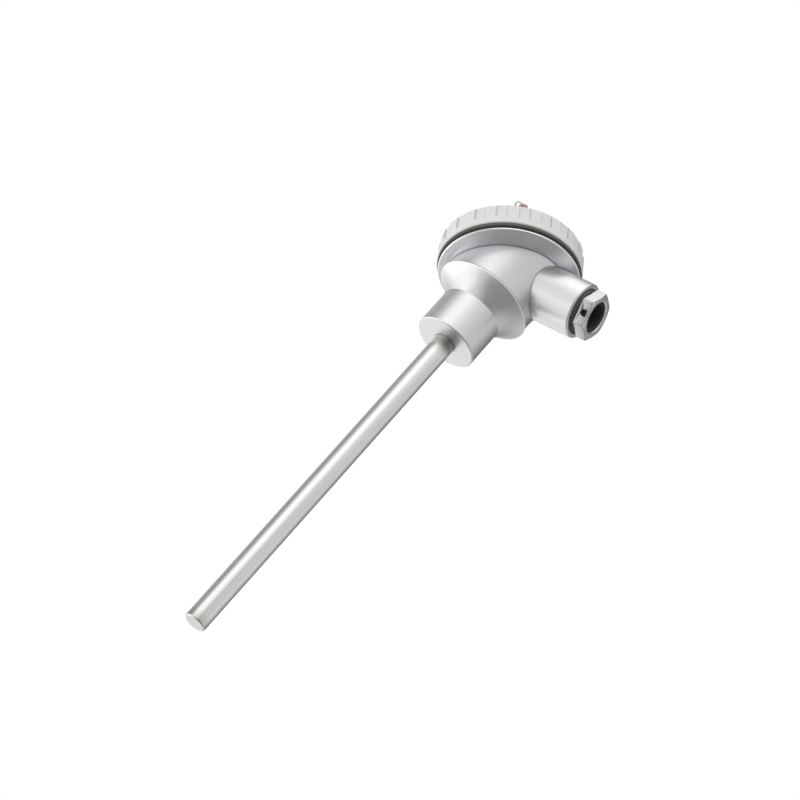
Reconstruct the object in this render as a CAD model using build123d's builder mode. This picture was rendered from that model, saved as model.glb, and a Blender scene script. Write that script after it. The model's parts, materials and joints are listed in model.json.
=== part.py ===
"""Assembled thermocouple: rigid protection tube in a cast head with an inclined screw cap.

Frame: the origin is the centre of the boss's bottom face, on the axis of the tube. +Z runs
up the tube's axis into the head, and +X runs out along the conduit. Sizes are in millimetres.
"""
from build123d import *
import math
import os

# Protection tube
TUBE_R = 6.0
TUBE_WALL = 1.5
TUBE_LENGTH_BELOW = 205.6
TUBE_SEAT = 21.0
TUBE_SEAT_R = 5.7
TUBE_TIP_WALL = 2.5
TUBE_TIP_ROUND = 0.9

# Boss, flare and bowl of the head, all round the tube's axis
BOSS_R = 17.15
BOSS_HEIGHT = 22.7
FLARE_TOP_Z = 32.5
FLARE_SAG = 0.75
LIP_Z = 33.6
BOWL_FOOT_Z = 34.5
CHAMBER_FLOOR_Z = 28.0
CHAMBER_FLOOR_R = 14.0
PASSAGE_R = 4.8

# Inclined flange, neck and cap
CAP_TILT = 30.0
FLANGE_X = 1.54
FLANGE_Z = 54.47
FLANGE_R = 37.38
FLANGE_EDGE = 1.15
FLANGE_ROOT = 2.6
NECK_INSET = 4.38
NECK_WALL = 3.5
CHAMBER_LEDGE = 5.5
BOWL_WALL = 4.0
BOWL_DRAFT = 2.1
LIP_PROUD = 1.0
NECK_HEIGHT = 11.3
THREAD_CLEARANCE = 0.3
GASKET_HEIGHT = 3.06
GASKET_PROUD = 0.6
GASKET_STEP = 1.2
CAP_OVERHANG = 1.02
CAP_DRAFT = 0.27
CAP_WALL_HEIGHT = 12.17
CAP_ROOF = 3.0
GRIP_COUNT = 20
GRIP_FIRST = -2.0
GRIP_WIDTH = 5.9
GRIP_DEPTH = 1.0
GRIP_BAND = 4.0

# Conduit and cable gland along +X
CONDUIT_Z = 54.25
CONDUIT_R = 15.14
CONDUIT_END_X = 49.0
MOUTH_R = 12.8
MOUTH_DEPTH = 3.5
GLAND_THREAD_R = 11.0
GLAND_STOP_X = 28.0
GLAND_WAY_R = 9.5
GROMMET_LENGTH = 8.5
GROMMET_BORE_R = 5.0
SLEEVE_WALL = 1.2
SLEEVE_SETBACK = 1.2
GLAND_WASHER = 1.5
NUT_BACK_X = 51.17
NUT_THICKNESS = 6.05
NUT_CORNER_R = 13.34
NUT_CORNER_ANGLE = 36.1
NUT_BORE_R = 8.5
NUT_HOLE_R = 1.85
NUT_HOLE_ANGLE = 126.1
NUT_CHAMFER = 0.85

# Terminal block and wiring
BLOCK_GAP = 3.5
BLOCK_Z = 41.0
BLOCK_HEIGHT = 7.0
BLOCK_HOLE_R = 5.5
BLOCK_SCREW_INSET = 4.0
PAD_R = 4.2
POST_X = 11.0
POST_LENGTH = 9.4
POST_WIDTH = 7.2
POST_HEIGHT = 6.5
POST_SINK = 1.0
WIRE_R = 0.8
WIRE_X = 1.6
SLEEVE_R = 1.35
BEAD_R = 4.3
BEAD_COUNT = 8
BEAD_TOP_Z = 12.0
JUNCTION_R = 2.6
JUNCTION_Z = -199.0

# Screws
M3_R = 1.4
M4_R = 2.0
M5_R = 2.5
SET_SCREW_Z = 15.5
SET_SCREW_ANGLE = -155.0
SET_SCREW_RECESS = 0.7

# Keeper chain
LINK_WIRE_R = 0.55
LINK_WIDTH = 4.2
LINK_LENGTH = 8.4
LINK_SLACK = 0.2
RING_R = 3.7
RING_WIRE_R = 0.45
RING_TILT = 34.0
STUD_R = 1.5
STUD_HEAD_R = 2.4
STUD_HEAD = 1.4
STUD_GAP = 2.5
CHAIN_SWING = -60.0
CHAIN_DROP = -25.0
CHAIN_EDGE_U = -4.2
LUG_DROP = 0.0
CAP_STUD_ANGLE = -75.5
CAP_STUD_INSET = 4.67
LUG_X = -6.0
LUG_Z = 40.8
LUG_R = 3.6
LUG_INSET = 6.38

# Dependent sizes and directions
SLOPE = math.radians(CAP_TILT)
CAP_AXIS = (-math.sin(SLOPE), 0, math.cos(SLOPE))
ACROSS = (math.cos(SLOPE), 0, math.sin(SLOPE))
seat_plane = Plane(origin=(FLANGE_X, 0, FLANGE_Z), x_dir=ACROSS, z_dir=CAP_AXIS)
conduit_plane = Plane(origin=(0, 0, CONDUIT_Z), x_dir=(0, 0, 1), z_dir=(1, 0, 0))
CAP_FOOT_W = GASKET_HEIGHT
CAP_TOP_W = CAP_FOOT_W + CAP_WALL_HEIGHT
NECK_R = FLANGE_R - NECK_INSET
NECK_BORE_R = NECK_R - NECK_WALL
CAP_BORE_R = NECK_R + THREAD_CLEARANCE
GASKET_R = FLANGE_R + GASKET_PROUD
CAP_FOOT_R = FLANGE_R + CAP_OVERHANG
CAP_TOP_R = CAP_FOOT_R - CAP_DRAFT
CAP_STUD_R = CAP_TOP_R - CAP_STUD_INSET
CHAMBER_R = NECK_BORE_R - CHAMBER_LEDGE
BOWL_TOP_R = CHAMBER_R + BOWL_WALL
BOWL_FOOT_R = BOWL_TOP_R - BOWL_DRAFT
LIP_R = BOWL_FOOT_R + LIP_PROUD
FLARE_TOP_R = LIP_R - LIP_PROUD
BLOCK_R = CHAMBER_R - BLOCK_GAP
BLOCK_SCREW_Y = BLOCK_R - BLOCK_SCREW_INSET
LUG_FACE_Y = FLANGE_R - LUG_INSET
GLAND_BORE_R = GLAND_THREAD_R + THREAD_CLEARANCE
SEAL_R = GLAND_BORE_R + 0.7
LINER_R = NUT_BORE_R - 0.3
GLAND_WASHER_X = GLAND_STOP_X + GROMMET_LENGTH
NUT_TAIL_X = GLAND_WASHER_X + GLAND_WASHER
NUT_FRONT_X = NUT_BACK_X + NUT_THICKNESS
BLOCK_TOP_Z = BLOCK_Z + BLOCK_HEIGHT
POST_Z = BLOCK_TOP_Z - POST_SINK
POST_TOP_Z = POST_Z + POST_HEIGHT
WIRE_TOP_Z = POST_Z + 3.0
TUBE_END_Z = -TUBE_LENGTH_BELOW


def seat_point(across, along_y, height):
    """Point in the head's frame from coordinates on the flange: across, along Y, and height."""
    return Vector(
        FLANGE_X + across * ACROSS[0] + height * CAP_AXIS[0],
        along_y,
        FLANGE_Z + across * ACROSS[2] + height * CAP_AXIS[2],
    )


def polar_seat(radius, angle, height):
    """Point on the flange's frame given by radius and angle from the uphill direction."""
    turn = math.radians(angle)
    return seat_point(radius * math.cos(turn), radius * math.sin(turn), height)


def save(piece, name):
    """Label a finished piece and write it to its file."""
    piece.label = name
    export_step(piece, "parts/" + name + ".step")


os.makedirs("parts", exist_ok=True)

# Cast head: boss, flare, lip and bowl, conduit, inclined flange with threaded neck
flare_mid = (
    (BOSS_R + FLARE_TOP_R) / 2 - FLARE_SAG * 0.72,
    (BOSS_HEIGHT + FLARE_TOP_Z) / 2 + FLARE_SAG * 0.69,
)
LUG_ROOT_Y = CHAMBER_R + 0.6
set_turn = math.radians(SET_SCREW_ANGLE)
set_way = (math.cos(set_turn), math.sin(set_turn), 0)

EARTH_V = NECK_BORE_R - 3.5
BOWL_END_Z = BOWL_FOOT_Z + 37
EARTH_PAD_R = 3.6
EARTH_PAD_W = 2.2
EARTH_PAD_DROP = 2.0
EARTH_DEPTH = 5.0
BLOCK_SCREW_DEPTH = 8.0
STUD_DEPTH = 5.0
STUD_FIX = 2.2
POST_STUD_R = 1.8
WIRE_SCREW_X = 8.8
CABLE_SCREW_X = 13.4
CABLE_HOLE_R = 1.3
M3_HEAD = 1.6
M4_WASHER = 0.9
M4_HEAD = 2.4
BEAD_JOINT = 0.05
screw_places = [
    (WIRE_SCREW_X, 0),
    (-WIRE_SCREW_X, 0),
    (CABLE_SCREW_X, 0),
    (-CABLE_SCREW_X, 0),
]

# Solid that stands for the wiring chamber, taken out of the casting
with BuildPart() as chamber:
    with BuildSketch(Plane.XZ):
        Polygon(
            (0, CHAMBER_FLOOR_Z),
            (CHAMBER_FLOOR_R, CHAMBER_FLOOR_Z),
            (CHAMBER_R - 1.5, BLOCK_Z - 4.5),
            (CHAMBER_R, BLOCK_Z - 2.0),
            (CHAMBER_R, BOWL_END_Z),
            (0, BOWL_END_Z),
            align=None,
        )
    revolve(axis=Axis.Z)
    split(bisect_by=seat_plane.offset(0.4), keep=Keep.BOTTOM)
chamber_core = chamber.part

with BuildPart() as head_body:
    with BuildSketch(Plane.XZ):
        with BuildLine():
            Polyline((0, 0), (BOSS_R - 0.5, 0), (BOSS_R, 0.5), (BOSS_R, BOSS_HEIGHT))
            ThreePointArc((BOSS_R, BOSS_HEIGHT), flare_mid, (FLARE_TOP_R, FLARE_TOP_Z))
            Line((FLARE_TOP_R, FLARE_TOP_Z), (LIP_R - 0.4, LIP_Z - 0.7))
            ThreePointArc(
                (LIP_R - 0.4, LIP_Z - 0.7), (LIP_R, LIP_Z - 0.1), (LIP_R - 0.5, LIP_Z + 0.45)
            )
            Line((LIP_R - 0.5, LIP_Z + 0.45), (BOWL_FOOT_R, BOWL_FOOT_Z))
            Line((BOWL_FOOT_R, BOWL_FOOT_Z), (BOWL_TOP_R, BOWL_END_Z))
            Polyline((BOWL_TOP_R, BOWL_END_Z), (0, BOWL_END_Z), (0, 0))
        make_face()
    revolve(axis=Axis.Z)
    with BuildSketch(conduit_plane):
        Circle(CONDUIT_R)
    extrude(amount=CONDUIT_END_X)
    fillet(head_body.edges().filter_by(GeomType.CIRCLE).sort_by(Axis.X)[-1], 1.0)
    split(bisect_by=seat_plane.offset(-FLANGE_ROOT + 0.4), keep=Keep.BOTTOM)
    with BuildSketch(Plane(seat_plane.origin, x_dir=ACROSS, z_dir=(0, -1, 0))):
        with BuildLine():
            Polyline(
                (0, -FLANGE_ROOT),
                (BOWL_TOP_R + 1.5, -FLANGE_ROOT),
                (FLANGE_R - 0.35, -FLANGE_EDGE),
                (FLANGE_R, -FLANGE_EDGE + 0.35),
                (FLANGE_R, -0.25),
                (FLANGE_R - 0.25, 0),
                (NECK_R, 0),
                (NECK_R, NECK_HEIGHT - 0.8),
                (NECK_R - 0.8, NECK_HEIGHT),
                (0, NECK_HEIGHT),
                (0, -FLANGE_ROOT),
            )
        make_face()
    revolve(axis=Axis(seat_plane.origin, CAP_AXIS))
    with BuildSketch(Plane((LUG_X, LUG_ROOT_Y, LUG_Z), x_dir=(1, 0, 0), z_dir=(0, 1, 0))):
        Circle(LUG_R)
    extrude(amount=LUG_FACE_Y - LUG_ROOT_Y)
    # Neck cavity, then the chamber with its conical floor
    with BuildSketch(seat_plane.offset(0.4)):
        Circle(NECK_BORE_R)
    extrude(amount=NECK_HEIGHT, mode=Mode.SUBTRACT)
    add(chamber_core, mode=Mode.SUBTRACT)
    # Pads for the terminal block and the earth screw
    with BuildSketch(Plane.XY.offset(CHAMBER_FLOOR_Z - 0.1)):
        with Locations((0, BLOCK_SCREW_Y), (0, -BLOCK_SCREW_Y)):
            Circle(PAD_R)
    extrude(amount=BLOCK_Z - CHAMBER_FLOOR_Z + 0.1)
    with BuildSketch(seat_plane.offset(-EARTH_PAD_DROP)):
        with Locations((0, EARTH_V)):
            Circle(EARTH_PAD_R)
    extrude(amount=EARTH_PAD_DROP + EARTH_PAD_W)
    # Bores
    with BuildSketch(Plane.XY):
        Circle(TUBE_SEAT_R)
    extrude(amount=TUBE_SEAT, mode=Mode.SUBTRACT)
    with BuildSketch(Plane.XY.offset(TUBE_SEAT)):
        Circle(PASSAGE_R)
    extrude(amount=CHAMBER_FLOOR_Z + 0.5 - TUBE_SEAT, mode=Mode.SUBTRACT)
    with BuildSketch(conduit_plane.offset(CONDUIT_END_X)):
        Circle(MOUTH_R)
    extrude(amount=-MOUTH_DEPTH, mode=Mode.SUBTRACT)
    with BuildSketch(conduit_plane.offset(CONDUIT_END_X)):
        Circle(GLAND_BORE_R)
    extrude(amount=GLAND_STOP_X - CONDUIT_END_X, mode=Mode.SUBTRACT)
    with BuildSketch(conduit_plane.offset(GLAND_STOP_X)):
        Circle(GLAND_WAY_R)
    extrude(amount=CHAMBER_R - 4 - GLAND_STOP_X, mode=Mode.SUBTRACT)
    # Tapped holes
    with BuildSketch(Plane.XY.offset(BLOCK_Z - BLOCK_SCREW_DEPTH)):
        with Locations((0, BLOCK_SCREW_Y), (0, -BLOCK_SCREW_Y)):
            Circle(M4_R)
    extrude(amount=BLOCK_SCREW_DEPTH, mode=Mode.SUBTRACT)
    with BuildSketch(seat_plane.offset(EARTH_PAD_W - EARTH_DEPTH)):
        with Locations((0, EARTH_V)):
            Circle(M4_R)
    extrude(amount=EARTH_DEPTH, mode=Mode.SUBTRACT)
    with BuildSketch(Plane((0, 0, SET_SCREW_Z), x_dir=(0, 0, 1), z_dir=set_way)):
        Circle(M5_R)
    extrude(amount=BOSS_R + 2, mode=Mode.SUBTRACT)
    with BuildSketch(Plane((LUG_X, LUG_FACE_Y, LUG_Z), x_dir=(1, 0, 0), z_dir=(0, -1, 0))):
        Circle(STUD_R)
    extrude(amount=STUD_DEPTH, mode=Mode.SUBTRACT)
save(head_body.part, "head_body")

# Screw cap with grip recesses round its rim
with BuildPart() as cap:
    with BuildSketch(Plane(seat_plane.origin, x_dir=ACROSS, z_dir=(0, -1, 0))):
        with BuildLine():
            Polyline(
                (CAP_BORE_R, CAP_FOOT_W),
                (CAP_FOOT_R - 0.4, CAP_FOOT_W),
                (CAP_FOOT_R, CAP_FOOT_W + 0.5),
                (CAP_TOP_R, CAP_TOP_W - 0.7),
                (CAP_TOP_R - 0.7, CAP_TOP_W),
                (0, CAP_TOP_W),
                (0, CAP_TOP_W - CAP_ROOF),
                (CAP_BORE_R, CAP_TOP_W - CAP_ROOF),
                (CAP_BORE_R, CAP_FOOT_W),
            )
        make_face()
    revolve(axis=Axis(seat_plane.origin, CAP_AXIS))
    with BuildSketch(seat_plane.offset(CAP_FOOT_W + GRIP_BAND)):
        with PolarLocations(CAP_FOOT_R - GRIP_DEPTH + 2.0, GRIP_COUNT, GRIP_FIRST):
            Rectangle(4.0, GRIP_WIDTH)
    extrude(amount=CAP_WALL_HEIGHT, mode=Mode.SUBTRACT)
    with BuildSketch(seat_plane.offset(CAP_TOP_W)):
        with PolarLocations(CAP_STUD_R, 1, CAP_STUD_ANGLE):
            Circle(STUD_R)
    extrude(amount=-STUD_FIX, mode=Mode.SUBTRACT)
save(cap.part, "cap")

# Rubber gasket squeezed between flange and cap
with BuildPart() as cap_gasket:
    with BuildSketch(Plane(seat_plane.origin, x_dir=ACROSS, z_dir=(0, -1, 0))):
        with BuildLine():
            Line((CAP_BORE_R, GASKET_HEIGHT), (CAP_BORE_R, 0))
            Polyline(
                (CAP_BORE_R, 0),
                (GASKET_R - 1.6, 0),
                (GASKET_R - 1.4, GASKET_STEP),
                (GASKET_R - 0.2, GASKET_STEP + 0.1),
            )
            ThreePointArc(
                (GASKET_R - 0.2, GASKET_STEP + 0.1),
                (GASKET_R, (GASKET_STEP + GASKET_HEIGHT) / 2),
                (GASKET_R - 0.2, GASKET_HEIGHT),
            )
            Line((GASKET_R - 0.2, GASKET_HEIGHT), (CAP_BORE_R, GASKET_HEIGHT))
        make_face()
    revolve(axis=Axis(seat_plane.origin, CAP_AXIS))
save(cap_gasket.part, "cap_gasket")

# Protection tube with a closed tip
with BuildPart() as protection_tube:
    with BuildSketch(Plane.XY.offset(TUBE_END_Z)):
        Circle(TUBE_R)
    extrude(amount=TUBE_LENGTH_BELOW)
    fillet(protection_tube.edges().sort_by(Axis.Z)[0], TUBE_TIP_ROUND)
    with BuildSketch(Plane.XY):
        Circle(TUBE_SEAT_R)
    extrude(amount=TUBE_SEAT)
    with BuildSketch(Plane.XY.offset(TUBE_END_Z + TUBE_TIP_WALL)):
        Circle(TUBE_R - TUBE_WALL)
    extrude(amount=TUBE_LENGTH_BELOW + TUBE_SEAT, mode=Mode.SUBTRACT)
save(protection_tube.part, "protection_tube")

# Slotted set screw that holds the tube in the boss
with BuildPart() as tube_set_screw:
    with BuildSketch(Plane((0, 0, SET_SCREW_Z), x_dir=(0, 0, 1), z_dir=set_way).offset(TUBE_SEAT_R)):
        Circle(M5_R)
    extrude(amount=BOSS_R - SET_SCREW_RECESS - TUBE_SEAT_R)
    with BuildSketch(
        Plane((0, 0, SET_SCREW_Z), x_dir=(0, 0, 1), z_dir=set_way).offset(BOSS_R - SET_SCREW_RECESS)
    ):
        Rectangle(2 * M5_R, 0.8)
    extrude(amount=-1.3, mode=Mode.SUBTRACT)
save(tube_set_screw.part, "tube_set_screw")

# Ceramic terminal block
with BuildPart() as terminal_block:
    with BuildSketch(Plane.XY.offset(BLOCK_Z)):
        Circle(BLOCK_R)
        Circle(BLOCK_HOLE_R, mode=Mode.SUBTRACT)
        with Locations((0, BLOCK_SCREW_Y), (0, -BLOCK_SCREW_Y)):
            Circle(M4_R + 0.3, mode=Mode.SUBTRACT)
        with Locations((POST_X, 0), (-POST_X, 0)):
            Circle(POST_STUD_R, mode=Mode.SUBTRACT)
    extrude(amount=BLOCK_HEIGHT)
    chamfer(terminal_block.edges().filter_by(GeomType.CIRCLE).sort_by(SortBy.RADIUS)[-2:], 0.6)
    with BuildSketch(Plane.XY.offset(BLOCK_TOP_Z)):
        with Locations((POST_X, 0), (-POST_X, 0)):
            Rectangle(POST_LENGTH, POST_WIDTH)
    extrude(amount=-POST_SINK, mode=Mode.SUBTRACT)
save(terminal_block.part, "terminal_block")

# Brass terminal posts with their clamp screws
wire_exit = POST_X + POST_LENGTH / 2 - 6.6
with BuildPart() as terminal_posts:
    with BuildSketch(Plane.XY.offset(POST_Z)):
        with Locations((POST_X, 0), (-POST_X, 0)):
            Rectangle(POST_LENGTH, POST_WIDTH)
    extrude(amount=POST_HEIGHT)
    with BuildSketch(Plane.XY.offset(BLOCK_Z + 1.5)):
        with Locations((POST_X, 0), (-POST_X, 0)):
            Circle(POST_STUD_R)
    extrude(amount=POST_Z - BLOCK_Z - 1.5)
    with BuildSketch(Plane.XY.offset(POST_TOP_Z)):
        with Locations(*screw_places):
            Circle(M3_R)
    extrude(amount=WIRE_TOP_Z - POST_TOP_Z, mode=Mode.SUBTRACT)
    with BuildSketch(Plane.XZ.offset(-POST_WIDTH)):
        with Locations((CABLE_SCREW_X, WIRE_TOP_Z), (-CABLE_SCREW_X, WIRE_TOP_Z)):
            Circle(CABLE_HOLE_R)
    extrude(amount=2 * POST_WIDTH, mode=Mode.SUBTRACT)
    with BuildSketch(Plane.YZ.offset(-WIRE_SCREW_X - M3_R)):
        with Locations((0, WIRE_TOP_Z)):
            Circle(WIRE_R)
    extrude(amount=2 * (WIRE_SCREW_X + M3_R), mode=Mode.SUBTRACT)
save(terminal_posts.part, "terminal_posts")

with BuildPart() as terminal_screws:
    with BuildSketch(Plane.XY.offset(WIRE_TOP_Z + CABLE_HOLE_R)):
        with Locations(*screw_places):
            Circle(M3_R)
    extrude(amount=POST_TOP_Z - WIRE_TOP_Z - CABLE_HOLE_R)
    with BuildSketch(Plane.XY.offset(POST_TOP_Z)):
        with Locations(*screw_places):
            Circle(M3_R * 1.5)
    extrude(amount=M3_HEAD)
    with BuildSketch(Plane.XY.offset(POST_TOP_Z + M3_HEAD)):
        with Locations(*screw_places):
            Rectangle(M3_R * 3.4, 0.7, rotation=35)
    extrude(amount=-0.9, mode=Mode.SUBTRACT)
save(terminal_screws.part, "terminal_screws")

# Screws and spring washers that hold the terminal block
block_places = [(0, BLOCK_SCREW_Y), (0, -BLOCK_SCREW_Y)]
with BuildPart() as block_washers:
    with BuildSketch(Plane.XY.offset(BLOCK_TOP_Z)):
        with Locations(*block_places):
            Circle(M4_R * 1.9)
        with Locations(*block_places):
            Circle(M4_R, mode=Mode.SUBTRACT)
    extrude(amount=M4_WASHER)
save(block_washers.part, "block_washers")

with BuildPart() as block_screws:
    with BuildSketch(Plane.XY.offset(BLOCK_Z - BLOCK_SCREW_DEPTH)):
        with Locations(*block_places):
            Circle(M4_R)
    extrude(amount=BLOCK_HEIGHT + BLOCK_SCREW_DEPTH + M4_WASHER)
    with BuildSketch(Plane.XY.offset(BLOCK_TOP_Z + M4_WASHER)):
        with Locations(*block_places):
            Circle(M4_R * 1.75)
    extrude(amount=M4_HEAD)
    with BuildSketch(Plane.XY.offset(BLOCK_TOP_Z + M4_WASHER + M4_HEAD)):
        with Locations(*block_places):
            Rectangle(M4_R * 3.8, 1.0, rotation=20)
    extrude(amount=-1.2, mode=Mode.SUBTRACT)
save(block_screws.part, "block_screws")

# Earth screw with its washer, on the pad inside the neck
earth_plane = seat_plane.offset(EARTH_PAD_W)
with BuildPart() as earth_washer:
    with BuildSketch(earth_plane):
        with Locations((0, EARTH_V)):
            Circle(EARTH_PAD_R - 0.2)
            Circle(M4_R, mode=Mode.SUBTRACT)
    extrude(amount=M4_WASHER)
save(earth_washer.part, "earth_washer")

with BuildPart() as earth_screw:
    with BuildSketch(earth_plane.offset(-EARTH_DEPTH)):
        with Locations((0, EARTH_V)):
            Circle(M4_R)
    extrude(amount=EARTH_DEPTH + M4_WASHER)
    with BuildSketch(earth_plane.offset(M4_WASHER)):
        with Locations((0, EARTH_V)):
            Circle(EARTH_PAD_R - 0.4)
    extrude(amount=M4_HEAD)
    with BuildSketch(earth_plane.offset(M4_WASHER + M4_HEAD)):
        with Locations((0, EARTH_V)):
            Rectangle(M4_R * 3.8, 1.0, rotation=-30)
    extrude(amount=-1.2, mode=Mode.SUBTRACT)
save(earth_screw.part, "earth_screw")

# Double-bore insulators, wires, hot junction and the seal at the tube's mouth
bead_length = (BEAD_TOP_Z - JUNCTION_Z) / BEAD_COUNT
with BuildPart() as insulator_beads:
    for index in range(BEAD_COUNT):
        with BuildSketch(Plane.XY.offset(JUNCTION_Z + index * bead_length)):
            Circle(BEAD_R)
            with Locations((WIRE_X, 0), (-WIRE_X, 0)):
                Circle(WIRE_R, mode=Mode.SUBTRACT)
        extrude(amount=bead_length - BEAD_JOINT)
save(insulator_beads.part, "insulator_beads")

with BuildPart() as tube_seal:
    with BuildSketch(Plane.XY.offset(BEAD_TOP_Z)):
        Circle(TUBE_R - TUBE_WALL)
        with Locations((WIRE_X, 0), (-WIRE_X, 0)):
            Circle(WIRE_R, mode=Mode.SUBTRACT)
    extrude(amount=TUBE_SEAT - BEAD_TOP_Z)
save(tube_seal.part, "tube_seal")

with BuildPart() as hot_junction:
    with Locations((0, 0, JUNCTION_Z)):
        Sphere(JUNCTION_R)
    split(bisect_by=Plane.XY.offset(JUNCTION_Z), keep=Keep.BOTTOM)
save(hot_junction.part, "hot_junction")


def wire(side):
    """One thermocouple wire, from the hot junction up and over into its terminal post."""
    with BuildPart() as strand:
        with BuildLine():
            FilletPolyline(
                (side * WIRE_X, 0, JUNCTION_Z),
                (side * WIRE_X, 0, WIRE_TOP_Z),
                (side * (WIRE_SCREW_X + M3_R), 0, WIRE_TOP_Z),
                radius=2.0,
            )
        with BuildSketch(Plane.XY.offset(JUNCTION_Z)):
            with Locations((side * WIRE_X, 0)):
                Circle(WIRE_R)
        sweep()
    return strand.part


positive_wire = wire(1)
save(positive_wire, "positive_wire")
negative_wire = wire(-1)
save(negative_wire, "negative_wire")

with BuildPart() as wire_sleeves:
    with BuildSketch(Plane.XY.offset(TUBE_SEAT)):
        with Locations((WIRE_X, 0), (-WIRE_X, 0)):
            Circle(SLEEVE_R)
            Circle(WIRE_R, mode=Mode.SUBTRACT)
    extrude(amount=BLOCK_TOP_Z - 1.5 - TUBE_SEAT)
save(wire_sleeves.part, "wire_sleeves")

# Cable gland: rubber bush, washer, sealing ring and hexagon nut with its lock-wire hole
with BuildPart() as gland_grommet:
    with BuildSketch(conduit_plane.offset(GLAND_STOP_X)):
        Circle(GLAND_BORE_R)
        Circle(GROMMET_BORE_R, mode=Mode.SUBTRACT)
    extrude(amount=GROMMET_LENGTH)
    with BuildSketch(conduit_plane.offset(GLAND_WASHER_X)):
        Circle(LINER_R)
        Circle(LINER_R - SLEEVE_WALL, mode=Mode.SUBTRACT)
    extrude(amount=NUT_FRONT_X - SLEEVE_SETBACK - GLAND_WASHER_X)
save(gland_grommet.part, "gland_grommet")

with BuildPart() as gland_washer:
    with BuildSketch(conduit_plane.offset(GLAND_WASHER_X)):
        Circle(GLAND_BORE_R)
        Circle(NUT_BORE_R, mode=Mode.SUBTRACT)
    extrude(amount=GLAND_WASHER)
save(gland_washer.part, "gland_washer")

SEAL_BACK_X = CONDUIT_END_X - MOUTH_DEPTH
with BuildPart() as gland_seal:
    with BuildSketch(conduit_plane.offset(SEAL_BACK_X)):
        Circle(SEAL_R)
        Circle(GLAND_BORE_R, mode=Mode.SUBTRACT)
    extrude(amount=NUT_BACK_X - SEAL_BACK_X)
save(gland_seal.part, "gland_seal")

nut_turn = math.radians(NUT_CORNER_ANGLE)
hole_turn = math.radians(NUT_HOLE_ANGLE)
hole_way = (0, -math.sin(hole_turn), math.cos(hole_turn))
NUT_FLAT_R = NUT_CORNER_R * math.cos(math.pi / 6)
with BuildPart() as gland_nut:
    with BuildSketch(conduit_plane.offset(NUT_BACK_X)):
        RegularPolygon(NUT_CORNER_R, 6, rotation=NUT_CORNER_ANGLE)
    extrude(amount=NUT_THICKNESS)
    with BuildSketch(Plane((0, 0, CONDUIT_Z), x_dir=(1, 0, 0), z_dir=(0, -1, 0))):
        Polygon(
            (NUT_BACK_X, 0),
            (NUT_FRONT_X, 0),
            (NUT_FRONT_X, NUT_FLAT_R - 0.3),
            (NUT_FRONT_X - NUT_CHAMFER, NUT_CORNER_R + 0.4),
            (NUT_BACK_X, NUT_CORNER_R + 0.4),
            align=None,
        )
    revolve(axis=Axis((0, 0, CONDUIT_Z), (1, 0, 0)), mode=Mode.INTERSECT)
    with BuildSketch(conduit_plane.offset(NUT_BACK_X)):
        Circle(GLAND_THREAD_R)
    extrude(amount=NUT_TAIL_X - NUT_BACK_X)
    with BuildSketch(conduit_plane.offset(NUT_FRONT_X)):
        Circle(NUT_BORE_R)
    extrude(amount=NUT_TAIL_X - NUT_FRONT_X, mode=Mode.SUBTRACT)
    chamfer(gland_nut.edges().filter_by(GeomType.CIRCLE).group_by(Axis.X)[-1].sort_by(SortBy.RADIUS)[0], 0.5)
    with BuildSketch(
        Plane((NUT_BACK_X + NUT_THICKNESS / 2, 0, CONDUIT_Z), x_dir=(1, 0, 0), z_dir=hole_way)
    ):
        Circle(NUT_HOLE_R)
    extrude(amount=NUT_CORNER_R, mode=Mode.SUBTRACT)
save(gland_nut.part, "gland_nut")


# Keeper chain: a stud and ring on the cap, a stud and ring on the head, and the links between
def stud(foot, way, depth):
    """A shouldered stud with a low round head, standing on foot and pointing along way."""
    with BuildPart() as piece:
        with BuildSketch(Plane(foot - way * depth, z_dir=way)):
            Circle(STUD_R)
        extrude(amount=depth + STUD_GAP)
        with BuildSketch(Plane(foot + way * STUD_GAP, z_dir=way)):
            Circle(STUD_HEAD_R)
        extrude(amount=STUD_HEAD)
        top = piece.faces().sort_by(Axis(foot, way))[-1]
        fillet(top.edges(), STUD_HEAD * 0.35)
        with BuildSketch(Plane(foot + way * (STUD_GAP + STUD_HEAD), z_dir=way)):
            Rectangle(STUD_HEAD_R * 2.2, 0.7, rotation=25)
        extrude(amount=-0.7, mode=Mode.SUBTRACT)
    return piece.part


def ring_frame(foot, way, lean):
    """Centre, far point and side direction of a ring that leans on a stud's shank."""
    tilt = math.radians(RING_TILT)
    along = lean * math.cos(tilt) + way * math.sin(tilt)
    near = foot - lean * (STUD_R + RING_WIRE_R + 0.05) + way * (RING_WIRE_R + 0.03)
    centre = near + along * RING_R
    side = way.cross(lean)
    return centre, centre + along * RING_R, side


def ring_hold(frame, swing, drop):
    """Where and which way a link leaves a ring, swing degrees round it from its far point."""
    centre, far, side = frame
    along = (far - centre).normalized()
    out = along * math.cos(math.radians(swing)) + side * math.sin(math.radians(swing))
    over = along.cross(side)
    way = out * math.cos(math.radians(drop)) + over * math.sin(math.radians(drop))
    hold = centre + out * RING_R - way * (RING_WIRE_R - LINK_SLACK / 2 + 0.1)
    across_wire = side * math.cos(math.radians(swing)) - along * math.sin(math.radians(swing))
    return hold, way, across_wire


def ring(centre, far, side):
    """A wire ring through far, square to the plane of side and the ring's radius."""
    with BuildPart() as piece:
        with Locations(Plane(centre, x_dir=(far - centre), z_dir=side.cross(far - centre))):
            Torus(RING_R, RING_WIRE_R)
    return piece.part


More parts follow.
